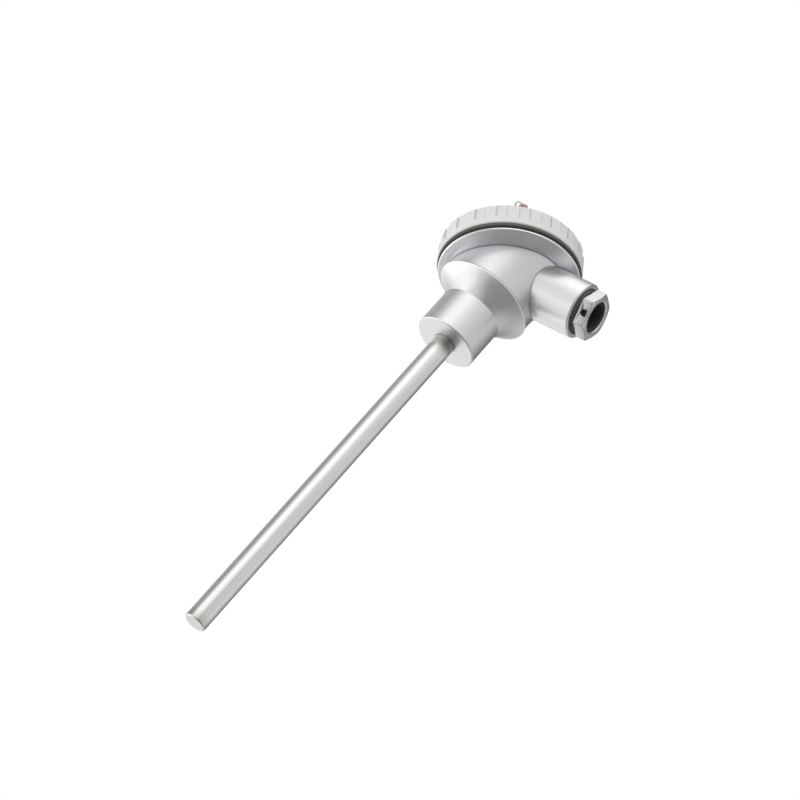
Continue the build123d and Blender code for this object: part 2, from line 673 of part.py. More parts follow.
CAP_NORMAL = Vector(*CAP_AXIS)
cap_foot = polar_seat(CAP_STUD_R, CAP_STUD_ANGLE, CAP_TOP_W)
cap_lean = (seat_point(-0.968, -0.25, 0) - seat_point(0, 0, 0)).normalized()
lug_foot = Vector(LUG_X, LUG_FACE_Y, LUG_Z)
lug_way = Vector(0, 1, 0)
lug_lean = Vector(-0.35, 0, 0.94).normalized()
save(stud(cap_foot, CAP_NORMAL, STUD_FIX), "cap_stud")
save(stud(lug_foot, lug_way, STUD_DEPTH), "lug_stud")
cap_ring = ring_frame(cap_foot, CAP_NORMAL, cap_lean)
lug_ring = ring_frame(lug_foot, lug_way, lug_lean)
save(ring(*cap_ring), "cap_ring")
save(ring(*lug_ring), "lug_ring")

# The chain's course: off the cap's ring, across the top, over the rim and down to the lug
LINK_HOLD = LINK_WIRE_R + LINK_SLACK / 2
LINK_PITCH = LINK_LENGTH - 2 * LINK_WIRE_R - 2 * LINK_HOLD
LIE = CAP_TOP_W + 1.75
leave, leave_way, leave_side = ring_hold(cap_ring, CHAIN_SWING, CHAIN_DROP)
reach, reach_way, reach_side = ring_hold(lug_ring, 0, LUG_DROP)
edge_v = math.sqrt(CAP_TOP_R**2 - CHAIN_EDGE_U**2)
edge = seat_point(CHAIN_EDGE_U, edge_v, CAP_TOP_W)
over_edge = Vector(0, 1, 1).normalized()
past_edge = Vector(0, 1, -1).normalized()
edge_first = edge + over_edge * 1.75 - past_edge * (LINK_PITCH / 2)
edge_last = edge + over_edge * 1.75 + past_edge * (LINK_PITCH / 2)


def top_course(bow):
    """Points across the cap's top, bowed sideways by bow."""
    return [
        leave,
        leave + leave_way * 6.0,
        seat_point(CHAIN_EDGE_U + 1.0 - bow * 0.7, -0.478 * CAP_TOP_R, LIE + 0.2),
        seat_point(CHAIN_EDGE_U - bow, -0.16 * CAP_TOP_R, LIE),
        seat_point(CHAIN_EDGE_U - bow, 0.212 * CAP_TOP_R, LIE),
        seat_point(CHAIN_EDGE_U - bow * 0.6, 0.557 * CAP_TOP_R, LIE),
        seat_point(CHAIN_EDGE_U, 0.796 * CAP_TOP_R, LIE + 0.3),
        edge_first,
    ]


def side_course(bow):
    """Points from the cap's edge down to the lug's ring, bowed outward by bow."""
    return [
        edge_last,
        edge_last + Vector(0.1, bow * 0.3, -6.0),
        edge_last + Vector(0.5, bow, -12.0),
        reach + reach_way * 5.0 + Vector(0, bow * 0.5, 0),
        reach,
    ]


def smooth(points, rounds):
    """Round off a row of points by cutting its corners, with its ends kept."""
    for _ in range(rounds):
        cut = [points[0]]
        for first, second in zip(points, points[1:]):
            cut.append(first * 0.75 + second * 0.25)
            cut.append(first * 0.25 + second * 0.75)
        cut.append(points[-1])
        points = cut
    return points


def steps(points):
    """Points one pitch apart, as the crow flies, along a row of points."""
    nodes = [points[0]]
    for first, second in zip(points, points[1:]):
        span = second - first
        while (second - nodes[-1]).length >= LINK_PITCH:
            low = 0.0
            high = 1.0
            for _ in range(40):
                middle = (low + high) / 2
                if (first + span * middle - nodes[-1]).length < LINK_PITCH:
                    low = middle
                else:
                    high = middle
            nodes.append(first + span * high)
    return nodes


def links_along(points):
    """How many links fit along a row of points, with the last one's share."""
    nodes = steps(points)
    return len(nodes) - 1 + (points[-1] - nodes[-1]).length / LINK_PITCH


def fitted(course):
    """Nodes along a course, bowed until a whole number of links fills it."""
    whole = math.ceil(links_along(smooth(course(0), 4)))
    low = 0.0
    high = 15.0
    for _ in range(40):
        bow = (low + high) / 2
        if links_along(smooth(course(bow), 4)) < whole:
            low = bow
        else:
            high = bow
    points = smooth(course(high), 4)
    return steps(points)[:whole] + [points[-1]], high


top_nodes, top_bow = fitted(top_course)
side_nodes, side_bow = fitted(side_course)
nodes = top_nodes + side_nodes
link_half = LINK_PITCH / 2 + LINK_HOLD
link_bend = LINK_WIDTH / 2 - LINK_WIRE_R

with BuildPart() as link:
    with BuildLine() as link_line:
        straight = link_half - link_bend
        Line((-straight, link_bend), (straight, link_bend))
        ThreePointArc((straight, link_bend), (link_half, 0), (straight, -link_bend))
        Line((straight, -link_bend), (-straight, -link_bend))
        ThreePointArc((-straight, -link_bend), (-link_half, 0), (-straight, link_bend))
    with BuildSketch(Plane((0, link_bend, 0), x_dir=(0, 1, 0), z_dir=(1, 0, 0))):
        Circle(LINK_WIRE_R)
    sweep(path=link_line.wires()[0])


def square_to(way, side):
    """The part of side that is square to way, as a unit vector."""
    return (side - way * side.dot(way)).normalized()


def turn_between(way, first, second):
    """Signed angle about way from first to second, in degrees, folded to a half turn."""
    angle = math.degrees(math.atan2(way.dot(first.cross(second)), first.dot(second)))
    return (angle + 90) % 180 - 90


link_ways = [(b - a).normalized() for a, b in zip(nodes, nodes[1:])]
normal = leave_side
link_normals = []
for way in link_ways:
    normal = square_to(way, normal)
    link_normals.append(normal)
count = len(link_ways)
lie_index = count // 3
lie_way = link_ways[lie_index]
lie_twist = turn_between(lie_way, link_normals[lie_index], square_to(lie_way, CAP_NORMAL)) - 45
end_side = square_to(link_ways[-1], reach_side)
end_twist = turn_between(link_ways[-1], link_normals[-1], end_side) - 90 * (count - 1)
end_twist = lie_twist + (end_twist - lie_twist + 90) % 180 - 90
side_count = len(side_nodes)
link_places = []
for index in range(count):
    share = max(0, index - (count - side_count)) / (side_count - 1)
    twist = lie_twist * min(index, 3) / 3 + (end_twist - lie_twist) * share
    way = link_ways[index]
    facing = link_normals[index].rotate(Axis((0, 0, 0), way), 90 * (index % 2) + twist)
    middle = (nodes[index] + nodes[index + 1]) * 0.5
    link_places.append(Plane(middle, x_dir=way, z_dir=facing).location)

with BuildPart() as chain:
    with Locations(*link_places):
        add(link.part)
save(chain.part, "chain")
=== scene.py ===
"""Looks of an assembled thermocouple: cast head, screw cap, cable gland and stem."""

import json
import logging
import math
from dataclasses import dataclass
from enum import Enum
from typing import Callable, ClassVar, Dict, Optional, Sequence, Tuple

import bmesh
import bpy
from mathutils import Matrix, Vector

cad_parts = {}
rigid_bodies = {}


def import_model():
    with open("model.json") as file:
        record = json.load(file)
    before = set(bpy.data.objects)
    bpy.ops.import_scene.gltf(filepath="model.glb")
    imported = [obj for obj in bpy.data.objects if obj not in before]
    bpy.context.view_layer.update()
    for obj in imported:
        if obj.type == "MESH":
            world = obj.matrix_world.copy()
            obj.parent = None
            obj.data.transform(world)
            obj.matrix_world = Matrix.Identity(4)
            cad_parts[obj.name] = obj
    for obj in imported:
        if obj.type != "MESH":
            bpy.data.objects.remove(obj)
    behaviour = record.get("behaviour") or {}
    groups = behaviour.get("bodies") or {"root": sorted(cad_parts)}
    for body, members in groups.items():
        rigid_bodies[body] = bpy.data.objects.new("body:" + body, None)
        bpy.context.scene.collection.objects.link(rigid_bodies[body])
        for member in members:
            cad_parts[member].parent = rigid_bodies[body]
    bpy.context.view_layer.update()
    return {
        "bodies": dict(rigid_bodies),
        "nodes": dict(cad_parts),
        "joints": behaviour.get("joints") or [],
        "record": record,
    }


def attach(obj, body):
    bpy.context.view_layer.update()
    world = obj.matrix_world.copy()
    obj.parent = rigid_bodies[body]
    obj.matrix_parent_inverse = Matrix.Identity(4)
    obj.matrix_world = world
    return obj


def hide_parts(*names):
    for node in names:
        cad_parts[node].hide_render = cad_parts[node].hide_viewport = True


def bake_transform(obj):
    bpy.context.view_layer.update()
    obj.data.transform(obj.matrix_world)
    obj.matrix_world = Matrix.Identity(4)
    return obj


LOG = logging.getLogger("thermocouple")
MM = 0.001
Point = Tuple[float, float]
Colour = Tuple[float, float, float]
Socket = bpy.types.NodeSocket


class Slot(Enum):
    """Material slots of the record."""

    HEAD = "head_paint"
    CAP = "cap_paint"
    RUBBER = "rubber"
    STAINLESS = "stainless"
    NUT = "nut_aluminium"
    ZINC = "zinc_steel"
    CHAIN = "chain_steel"
    COPPER = "copper_screw"
    BRASS = "brass"
    CERAMIC = "ceramic"
    SLEEVE = "sleeve_fibre"
    SILICONE = "seal_silicone"
    POSITIVE = "positive_alloy"
    NEGATIVE = "negative_alloy"


class Body(Enum):
    """Rigid bodies of the record."""

    HEAD = "head"
    GASKET = "cap_gasket_body"
    CAP = "cap_body"
    SEAL = "gland_seal_body"
    NUT = "gland_nut_body"


# Sizes, directions and frames of the part, lengths in millimetres and angles in radians
SEAT_X = 1.54
SEAT_Z = 54.47
TILT = math.radians(30.0)
TUBE_R = 6.0
TUBE_END_Z = -205.6
LIP_R = 26.9
LIP_Z = 33.6
BOWL_FOOT_R = 25.9
BOWL_FOOT_Z = 34.5
BOWL_SLOPE = 2.1 / 37.0
FLANGE_R = 37.38
FLANGE_ROOT = 2.6
CONDUIT_Z = 54.25
CONDUIT_R = 15.14
CONDUIT_END_X = 49.0
SEAL_R = 12.0
NUT_BACK_X = 51.17
NUT_FRONT_X = 57.22
NUT_FLAT = 11.5
NEAR_FLAT = Vector((0.0, -0.808, -0.589))
LOWER_FLAT = Vector((0.0, 0.106, -0.994))
GRIP_FIRST = math.radians(-2.0)
GRIP_PITCH = math.radians(18.0)
GRIP_WIDTH = 5.9
GRIP_EDGE_R = 38.1
GRIP_HALF = math.asin(GRIP_WIDTH / 2 / GRIP_EDGE_R)
GRIP_FLOOR_R = 37.4
GRIP_FOOT = 7.06
UPRIGHT = Matrix.Identity(4)
SEAT = Matrix(
    (
        (math.cos(TILT), 0.0, -math.sin(TILT), SEAT_X),
        (0.0, 1.0, 0.0, 0.0),
        (math.sin(TILT), 0.0, math.cos(TILT), SEAT_Z),
        (0.0, 0.0, 0.0, 1.0),
    )
)
CONDUIT = Matrix(
    (
        (0.0, 0.0, 1.0, 0.0),
        (0.0, -1.0, 0.0, 0.0),
        (1.0, 0.0, 0.0, CONDUIT_Z),
        (0.0, 0.0, 0.0, 1.0),
    )
)


class Graph:
    """A small builder for shader nodes."""

    def __init__(self, tree: bpy.types.NodeTree) -> None:
        """Start on a node tree.

        Args:
            tree: The tree that the nodes go into.
        """
        self.tree = tree

    def add(self, kind: str, **settings: object) -> bpy.types.Node:
        """Add a node.

        Args:
            kind: The node's type name.
            **settings: Properties of the node.

        Returns:
            The new node.
        """
        node = self.tree.nodes.new(kind)
        node.location = (160 * len(self.tree.nodes), 0)
        for key, value in settings.items():
            setattr(node, key, value)
        return node

    def link(self, out: Socket, into: Socket) -> None:
        """Join an output to an input."""
        self.tree.links.new(out, into)

    def math(self, operation: str, first: object, second: object = None) -> Socket:
        """Add a math node on numbers or sockets.

        Args:
            operation: The node's operation.
            first: First number or socket.
            second: Second number or socket.

        Returns:
            The node's output.
        """
        node = self.add("ShaderNodeMath", operation=operation)
        for index, value in enumerate((first, second)):
            if isinstance(value, (int, float)):
                node.inputs[index].default_value = value
            elif value is not None:
                self.link(value, node.inputs[index])
        return node.outputs[0]

    def noise(self, place: Socket, scale: float, detail: float, rough: float = 0.55) -> Socket:
        """Add a noise texture.

        Args:
            place: Position on the surface.
            scale: Cells a metre.
            detail: Layers of finer noise.
            rough: Share of each finer layer.

        Returns:
            The texture's factor.
        """
        node = self.add("ShaderNodeTexNoise")
        node.inputs["Scale"].default_value = scale
        node.inputs["Detail"].default_value = detail
        node.inputs["Roughness"].default_value = rough
        self.link(place, node.inputs["Vector"])
        return node.outputs["Fac"]

    def span(self, value: Socket, low: float, high: float, to_low: float, to_high: float) -> Socket:
        """Map a number smoothly from one span to another.

        Args:
            value: The number.
            low: Start of its span.
            high: End of its span.
            to_low: What the start becomes.
            to_high: What the end becomes.

        Returns:
            The mapped number.
        """
        node = self.add("ShaderNodeMapRange", interpolation_type="SMOOTHSTEP")
        limits = (("From Min", low), ("From Max", high), ("To Min", to_low), ("To Max", to_high))
        for name, number in limits:
            node.inputs[name].default_value = number
        self.link(value, node.inputs["Value"])
        return node.outputs["Result"]

    def tint(self, colour: Socket, factor: Socket, towards: Colour) -> Socket:
        """Mix a colour towards another.

        Args:
            colour: The colour so far.
            factor: How far it goes, from 0 to 1.
            towards: The other colour.

        Returns:
            The mixed colour.
        """
        mix = self.add("ShaderNodeMix", data_type="RGBA")
        self.link(factor, mix.inputs["Factor"])
        self.link(colour, mix.inputs[6])
        mix.inputs[7].default_value = (*towards, 1.0)
        return mix.outputs[2]

    def project(self, place: Socket, way: Vector, start: float) -> Socket:
        """Distance along a direction, in metres.

        Args:
            place: Position on the surface.
            way: The direction, of unit length.
            start: Where the distance is counted from, in metres.

        Returns:
            The distance.
        """
        node = self.add("ShaderNodeVectorMath", operation="DOT_PRODUCT")
        self.link(place, node.inputs[0])
        node.inputs[1].default_value = way
        return self.math("SUBTRACT", node.outputs["Value"], start)

    def along(
        self, place: Socket, frame: Matrix, column: int = 2, offset: float = 0.0
    ) -> Socket:
        """Distance along an axis of a frame, in metres.

        Args:
            place: Position on the surface.
            frame: The frame, in millimetres.
            column: Which of its axes.
            offset: Where the distance is counted from, in millimetres from the frame's origin.

        Returns:
            The distance.
        """
        way = frame.col[column].to_3d()
        return self.project(place, way, (way.dot(frame.translation) + offset) * MM)

    def from_axis(self, place: Socket, frame: Matrix) -> Socket:
        """Distance from the Z axis of a frame, in metres.

        Args:
            place: Position on the surface.
            frame: The frame, in millimetres.

        Returns:
            The distance.
        """
        offset = self.add("ShaderNodeVectorMath", operation="SUBTRACT")
        self.link(place, offset.inputs[0])
        offset.inputs[1].default_value = frame.translation * MM
        cross = self.add("ShaderNodeVectorMath", operation="CROSS_PRODUCT")
        self.link(offset.outputs[0], cross.inputs[0])
        cross.inputs[1].default_value = frame.col[2].to_3d()
        length = self.add("ShaderNodeVectorMath", operation="LENGTH")
        self.link(cross.outputs[0], length.inputs[0])
        return length.outputs["Value"]

    def crease(self, first: Socket, second: Socket, width: float, depth: float) -> Socket:
        """Mask of the corner between two surfaces.

        Args:
            first: Distance from one surface.
            second: Distance from the other.
            width: Where the mask ends, in millimetres.
            depth: Its value in the corner.

        Returns:
            The mask.
        """
        far = self.math("MAXIMUM", self.math("ABSOLUTE", first), self.math("ABSOLUTE", second))
        return self.span(far, 0.0, width * MM, depth, 0.0)


# Surface marks of a material, painted light and shade among them
MarksAndPaintedLight = Callable[[Graph, Socket, Socket], Socket]
Test = Callable[[Vector], bool]


def tube_marks_and_reflection(graph: Graph, place: Socket, colour: Socket) -> Socket:
    """Brown mark near the boss, partly heat tint and partly a painted reflection of the boss's face,
    and a darker tip.

    Args:
        graph: The material's graph.
        place: Position on the surface.
        colour: The colour so far.

    Returns:
        The marked colour.
    """
    height = graph.along(place, UPRIGHT)
    cloud = graph.math("SUBTRACT", graph.noise(place, 160.0, 4.0), 0.5)
    edge = graph.math("ADD", height, graph.math("MULTIPLY", cloud, 7.0 * MM))
    # Brown near the boss: partly heat tint, partly a painted reflection of the boss's face
    tint_and_reflection = graph.span(edge, -10.5 * MM, -3.5 * MM, 0.0, 0.75)
    colour = graph.tint(colour, tint_and_reflection, (0.30, 0.28, 0.25))
    tip = graph.span(height, TUBE_END_Z * MM, (TUBE_END_Z + 7.1) * MM, 0.45, 0.0)
    return graph.tint(colour, tip, (0.42, 0.40, 0.37))


def band_painted_light(graph: Graph, place: Socket, colour: Socket) -> Socket:
    """Painted light on the rubber: a paler upper part of the band, and a grey outer edge of the
    gland seal.

    Args:
        graph: The material's graph.
        place: Position on the surface.
        colour: The colour so far.

    Returns:
        The marked colour.
    """
    height = graph.along(place, SEAT)
    # Painted light: a grey outer edge on the gland seal, near the conduit's end
    edge = graph.span(
        graph.from_axis(place, CONDUIT), (SEAL_R - 0.8) * MM, SEAL_R * MM, 0.0, 0.85
    )
    seal_edge_light = graph.math("MULTIPLY", edge, graph.span(height, -12.0 * MM, -10.0 * MM, 1.0, 0.0))
    outward = graph.span(
        graph.along(place, CONDUIT), (CONDUIT_END_X + 0.4) * MM, (CONDUIT_END_X + 1.4) * MM, 1.0, 0.0
    )
    colour = graph.tint(colour, graph.math("MULTIPLY", seal_edge_light, outward), (0.2, 0.2, 0.2))
    # Painted light: the upper part of the band is paler
    return graph.tint(colour, graph.span(height, 1.1 * MM, 1.4 * MM, 0.0, 1.0), (0.12, 0.12, 0.10))


def nut_speckle_and_shade(graph: Graph, place: Socket, colour: Socket) -> Socket:
    """Grey speckle of a bare machined casting, thick on one flat, with painted shade on that flat
    and on the flat below it.

    Args:
        graph: The material's graph.
        place: Position on the surface.
        colour: The colour so far.

    Returns:
        The marked colour.
    """
    specks = graph.noise(place, 2100.0, 3.0, 0.75)
    # Painted shade: the near and the lower flat are darkened, more towards the front; on the near
    # flat the speckle breaks it up
    depth = graph.span(
        graph.along(place, CONDUIT), (NUT_BACK_X + 0.13) * MM, (NUT_FRONT_X - 0.02) * MM, 0.5, 0.95
    )
    grey = {"near": (NEAR_FLAT, 1.0), "lower": (LOWER_FLAT, 0.75)}
    masks = {}
    for name, (way, level) in grey.items():
        height = graph.project(place, way, (NUT_FLAT + way.z * CONDUIT_Z) * MM)
        flat = graph.span(height, -0.9 * MM, -0.2 * MM, 0.0, level)
        masks[name] = graph.math("MULTIPLY", flat, depth)
    speck = graph.span(specks, 0.34, 0.62, 0.25, 1.0)
    colour = graph.tint(colour, graph.math("MULTIPLY", masks["near"], speck), (0.22, 0.23, 0.25))
    colour = graph.tint(colour, masks["lower"], (0.3, 0.31, 0.33))
    return graph.tint(colour, graph.span(specks, 0.52, 0.7, 0.0, 0.25), (0.5, 0.51, 0.53))


def painted_edge_highlights(graph: Graph, place: Socket) -> Socket:
    """Mask of the painted highlights on the flange's edge and on the lip's.

    Args:
        graph: The material's graph.
        place: Position on the surface.

    Returns:
        The mask.
    """
    under = graph.along(place, SEAT, offset=-FLANGE_ROOT)
    rim = graph.span(
        graph.from_axis(place, SEAT), (FLANGE_R - 0.5) * MM, (FLANGE_R - 0.2) * MM, 0.0, 0.8
    )
    rim = graph.math("MULTIPLY", rim, graph.span(under, 0.9 * MM, 1.2 * MM, 0.0, 1.0))
    height = graph.along(place, UPRIGHT)
    inset = graph.math("SUBTRACT", graph.from_axis(place, UPRIGHT), LIP_R * MM)
    lip = graph.span(inset, -0.9 * MM, -0.3 * MM, 0.0, 0.75)
    foot = graph.span(height, (LIP_Z - 1.0) * MM, (LIP_Z - 0.4) * MM, 0.0, 1.0)
    top = graph.span(height, (BOWL_FOOT_Z - 0.3) * MM, BOWL_FOOT_Z * MM, 1.0, 0.0)
    lip = graph.math("MULTIPLY", graph.math("MULTIPLY", lip, foot), top)
    return graph.math("MAXIMUM", rim, lip)


def painted_corner_shade(graph: Graph, place: Socket) -> Socket:
    """Mask of the painted shade in the corners between the casting's forms and round the tube.

    Args:
        graph: The material's graph.
        place: Position on the surface.

    Returns:
        The mask.
    """
    height = graph.along(place, UPRIGHT)
    radius = graph.from_axis(place, UPRIGHT)
    under = graph.along(place, SEAT, offset=-FLANGE_ROOT)
    wall = graph.math(
        "MULTIPLY", graph.math("SUBTRACT", height, BOWL_FOOT_Z * MM), BOWL_SLOPE
    )
    bowl = graph.math("SUBTRACT", graph.math("SUBTRACT", radius, wall), BOWL_FOOT_R * MM)
    conduit = graph.math("SUBTRACT", graph.from_axis(place, CONDUIT), CONDUIT_R * MM)
    stem = graph.math("SUBTRACT", radius, TUBE_R * MM)
    lip = graph.math("SUBTRACT", height, (LIP_Z + 0.8) * MM)
    corners = (
        graph.crease(bowl, under, 0.8, 0.6),
        graph.crease(bowl, conduit, 0.7, 0.5),
        graph.crease(under, conduit, 0.7, 0.6),
        graph.crease(bowl, lip, 0.7, 0.6),
        graph.crease(stem, height, 0.8, 0.7),
    )
    dark = corners[0]
    for corner in corners[1:]:
        dark = graph.math("MAXIMUM", dark, corner)
    return dark


def paint_flakes_and_painted_light(graph: Graph, place: Socket, colour: Socket) -> Socket:
    """Fine flakes of aluminium paint, painted highlights on the edges and painted shade in the
    corners.

    Args:
        graph: The material's graph.
        place: Position on the surface.
        colour: The colour so far.

    Returns:
        The marked colour.
    """
    flakes = graph.noise(place, 2300.0, 2.0, 0.7)
    colour = graph.tint(colour, graph.span(flakes, 0.54, 0.68, 0.0, 0.35), (0.96, 0.965, 0.97))
    colour = graph.tint(colour, graph.span(flakes, 0.46, 0.32, 0.0, 0.3), (0.52, 0.53, 0.55))
    # Painted highlights on the flange's and the lip's edges
    colour = graph.tint(colour, painted_edge_highlights(graph, place), (1.0, 1.0, 1.0))
    # Painted shade in the corners
    return graph.tint(colour, painted_corner_shade(graph, place), (0.14, 0.14, 0.15))


def grip_painted_shade(graph: Graph, place: Socket, colour: Socket) -> Socket:
    """Painted shade: thin dark lines in the corners of the cap's grip recesses.

    Args:
        graph: The material's graph.
        place: Position on the surface.
        colour: The colour so far.

    Returns:
        The marked colour.
    """
    ahead = graph.along(place, SEAT, column=0)
    side = graph.along(place, UPRIGHT, column=1)
    turn = graph.math("SUBTRACT", graph.math("ARCTAN2", side, ahead), GRIP_FIRST)
    wrap = graph.add("ShaderNodeMath", operation="WRAP")
    graph.link(turn, wrap.inputs[0])
    wrap.inputs[1].default_value = GRIP_PITCH / 2
    wrap.inputs[2].default_value = -GRIP_PITCH / 2
    edge = graph.math("SUBTRACT", graph.math("ABSOLUTE", wrap.outputs[0]), GRIP_HALF)
    line = graph.span(graph.math("ABSOLUTE", edge), 0.001, 0.007, 0.5, 0.0)
    height = graph.along(place, SEAT)
    band = graph.span(height, GRIP_FOOT * MM, (GRIP_FOOT + 0.3) * MM, 0.0, 1.0)
    radius = graph.from_axis(place, SEAT)
    rim = graph.span(radius, (GRIP_FLOOR_R - 0.8) * MM, (GRIP_FLOOR_R - 0.3) * MM, 0.0, 1.0)
    where = graph.math("MULTIPLY", graph.math("MULTIPLY", line, band), rim)
    # Painted shade in the grip recesses' corners
    return graph.tint(colour, where, (0.34, 0.35, 0.35))


@dataclass(frozen=True)
class Finish:
    """Look of one material: its colour, how metallic and rough it is, and its surface marks, painted
    light and shade among them.

    Colour is linear. Mottle and grain scales are in noise cells a metre, grain height in metres,
    and stretch scales both patterns along X, Y and Z.
    """

    name: str
    colour: Colour
    metallic: float
    roughness: float
    mottle: float = 0.1
    mottle_scale: float = 300.0
    grain_scale: float = 2400.0
    grain_height: float = 0.000008
    rough_spread: float = 0.1
    stretch: Tuple[float, float, float] = (1.0, 1.0, 1.0)
    marks: Optional[MarksAndPaintedLight] = None


FINISHES: Dict[Slot, Finish] = {
    Slot.HEAD: Finish(
        "head_paint",
        (0.80, 0.81, 0.825),
        metallic=0.88,
        roughness=0.34,
        mottle=0.05,
        mottle_scale=60.0,
        grain_scale=1300.0,
        grain_height=0.00002,
        rough_spread=0.05,
        marks=paint_flakes_and_painted_light,
    ),
    Slot.CAP: Finish(
        "cap_paint",
        (0.88, 0.885, 0.88),
        metallic=0.0,
        roughness=0.5,
        mottle=0.05,
        mottle_scale=70.0,
        grain_scale=1300.0,
        grain_height=0.00002,
        rough_spread=0.08,
        marks=grip_painted_shade,
    ),
    Slot.RUBBER: Finish(
        "rubber",
        (0.055, 0.051, 0.048),
        metallic=0.0,
        roughness=0.7,
        mottle=0.25,
        mottle_scale=220.0,
        grain_scale=2600.0,
        grain_height=0.00002,
        marks=band_painted_light,
    ),
    Slot.STAINLESS: Finish(
        "stainless",
        (0.85, 0.84, 0.825),
        metallic=1.0,
        roughness=0.27,
        mottle=0.05,
        grain_height=0.000004,
        rough_spread=0.08,
        stretch=(1.0, 1.0, 0.04),
        marks=tube_marks_and_reflection,
    ),
    Slot.NUT: Finish(
        "nut_aluminium",
        (0.78, 0.79, 0.81),
        metallic=0.9,
        roughness=0.32,
        grain_height=0.00002,
        marks=nut_speckle_and_shade,
    ),
    Slot.ZINC: Finish(
        "zinc_steel", (0.62, 0.62, 0.61), metallic=1.0, roughness=0.34, rough_spread=0.12
    ),
    Slot.CHAIN: Finish("chain_steel", (0.66, 0.66, 0.64), metallic=1.0, roughness=0.22),
    Slot.COPPER: Finish(
        "copper_screw", (0.66, 0.33, 0.24), metallic=0.85, roughness=0.36, mottle=0.12
    ),
    Slot.BRASS: Finish(
        "brass",
        (0.76, 0.60, 0.30),
        metallic=1.0,
        roughness=0.3,
        mottle=0.08,
        mottle_scale=250.0,
    ),
    Slot.CERAMIC: Finish(
        "ceramic",
        (0.84, 0.81, 0.75),
        metallic=0.0,
        roughness=0.62,
        mottle=0.08,
        mottle_scale=200.0,
        grain_scale=3000.0,
        grain_height=0.000015,
    ),
    Slot.SLEEVE: Finish(
        "sleeve_fibre",
        (0.78, 0.74, 0.62),
        metallic=0.0,
        roughness=0.8,
        mottle=0.15,
        mottle_scale=500.0,
        grain_scale=3600.0,
        grain_height=0.00006,
        stretch=(1.0, 1.0, 0.5),
    ),
    Slot.SILICONE: Finish(
        "seal_silicone",
        (0.55, 0.17, 0.12),
        metallic=0.0,
        roughness=0.45,
        mottle=0.1,
        mottle_scale=250.0,
        grain_scale=1500.0,
        grain_height=0.00001,
    ),
    Slot.POSITIVE: Finish(
        "positive_alloy", (0.52, 0.50, 0.47), metallic=1.0, roughness=0.36, mottle=0.12
    ),
    Slot.NEGATIVE: Finish(
        "negative_alloy", (0.43, 0.42, 0.41), metallic=1.0, roughness=0.4, mottle=0.12
    ),
}


class FinishBook:
    """Makes each material once."""

    numbers: ClassVar[Tuple[str, ...]] = (
        "Roughness",
        "Spread",
        "Mottle",
        "Mottle Scale",
        "Grain Scale",
    )

    def __init__(self) -> None:
        """Start with no materials and the shared surface group."""
        self.made: Dict[str, bpy.types.Material] = {}
        self.group = self._surface_group()

    def _surface_group(self) -> bpy.types.NodeTree:
        """Build the shared group that gives mottled colour, roughness and bump height.

        Returns:
            The group's tree.
        """
        tree = bpy.data.node_groups.new("surface_marks", "ShaderNodeTree")
        kinds = {"Place": "NodeSocketVector", "Colour": "NodeSocketColor"}
        sockets = {
            "INPUT": ("Place", "Colour", *self.numbers),
            "OUTPUT": ("Colour", "Roughness", "Height"),
        }
        for side, names in sockets.items():
            for name in names:
                kind = kinds.get(name, "NodeSocketFloat")
                tree.interface.new_socket(name=name, in_out=side, socket_type=kind)
        graph = Graph(tree)
        start = graph.add("NodeGroupInput")
        end = graph.add("NodeGroupOutput")
        factors = []
        for scale, detail, share in (("Mottle Scale", 4.0, 1.3), ("Grain Scale", 3.0, 0.8)):
            noise = graph.add("ShaderNodeTexNoise")
            noise.inputs["Detail"].default_value = detail
            graph.link(start.outputs["Place"], noise.inputs["Vector"])
            graph.link(start.outputs[scale], noise.inputs["Scale"])
            height = noise.outputs["Fac"]
            factors.append(graph.math("MULTIPLY", graph.math("SUBTRACT", height, 0.5), share))
        graph.link(height, end.inputs["Height"])
        both = graph.math("ADD", *factors)
        shade = graph.math("ADD", graph.math("MULTIPLY", both, start.outputs["Mottle"]), 1.0)
        mix = graph.add("ShaderNodeVectorMath", operation="SCALE")
        graph.link(start.outputs["Colour"], mix.inputs[0])
        graph.link(shade, mix.inputs["Scale"])
        graph.link(mix.outputs[0], end.inputs["Colour"])
        spread = graph.math("MULTIPLY", both, start.outputs["Spread"])
        graph.link(graph.math("ADD", start.outputs["Roughness"], spread), end.inputs["Roughness"])
        return tree

    def get(self, finish: Finish) -> bpy.types.Material:
        """Give the material of a finish.

        Args:
            finish: The look that is wanted.

        Returns:
            The material, made on first use.
        """
        if finish.name in self.made:
            return self.made[finish.name]
        material = bpy.data.materials.new(finish.name)
        material.use_nodes = True
        material.node_tree.nodes.clear()
        graph = Graph(material.node_tree)
        out = graph.add("ShaderNodeOutputMaterial")
        shader = graph.add("ShaderNodeBsdfPrincipled")
        graph.link(shader.outputs[0], out.inputs["Surface"])
        place = graph.add("ShaderNodeTexCoord").outputs["Object"]
        mapping = graph.add("ShaderNodeMapping")
        mapping.inputs["Scale"].default_value = finish.stretch
        graph.link(place, mapping.inputs["Vector"])
        marks = graph.add("ShaderNodeGroup")
        marks.node_tree = self.group
        graph.link(mapping.outputs[0], marks.inputs["Place"])
        marks.inputs["Colour"].default_value = (*finish.colour, 1.0)
        values = (
            finish.roughness,
            finish.rough_spread,
            finish.mottle,
            finish.mottle_scale,
            finish.grain_scale,
        )
        for name, value in zip(self.numbers, values):
            marks.inputs[name].default_value = value
        colour = marks.outputs["Colour"]
        if finish.marks is not None:
            colour = finish.marks(graph, place, colour)
        graph.link(colour, shader.inputs["Base Color"])
        graph.link(marks.outputs["Roughness"], shader.inputs["Roughness"])
        shader.inputs["Metallic"].default_value = finish.metallic
        bump = graph.add("ShaderNodeBump")
        bump.inputs["Distance"].default_value = finish.grain_height
        graph.link(marks.outputs["Height"], bump.inputs["Height"])
        graph.link(bump.outputs["Normal"], shader.inputs["Normal"])
        self.made[finish.name] = material
        return material


